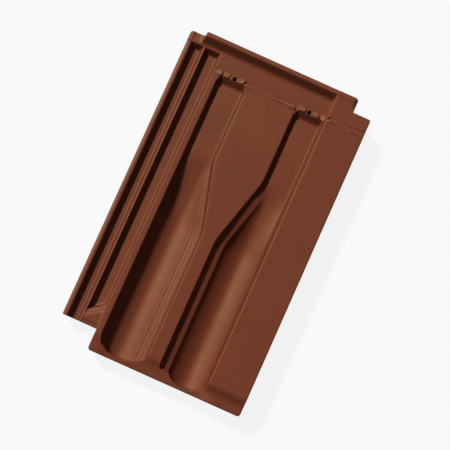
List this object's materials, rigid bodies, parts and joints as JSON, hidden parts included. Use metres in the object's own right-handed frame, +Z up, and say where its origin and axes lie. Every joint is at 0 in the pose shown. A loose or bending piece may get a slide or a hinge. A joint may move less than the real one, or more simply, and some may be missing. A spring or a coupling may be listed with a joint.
{
  "type": "clay roof tile",
  "caption": "Interlocking pressed clay roof tile with water troughs beside a tapering panel and rib, a channelled side lock, a lapping cover, a head rim, nail holes and hanging nibs.",
  "frame": {"origin": "centre of the tile's plan box, on the floor that it lies on", "axes": "+Y from the foot edge to the head edge, +Z up out of the face, +X from the lock edge to the cover edge"},
  "size_m": [0.253, 0.425, 0.0345],
  "materials": {
    "engobed_clay": "satin brown engobe on fired clay"
  },
  "bodies": {
    "root": {"roof_tile": "engobed_clay"}
  },
  "joints": []
}
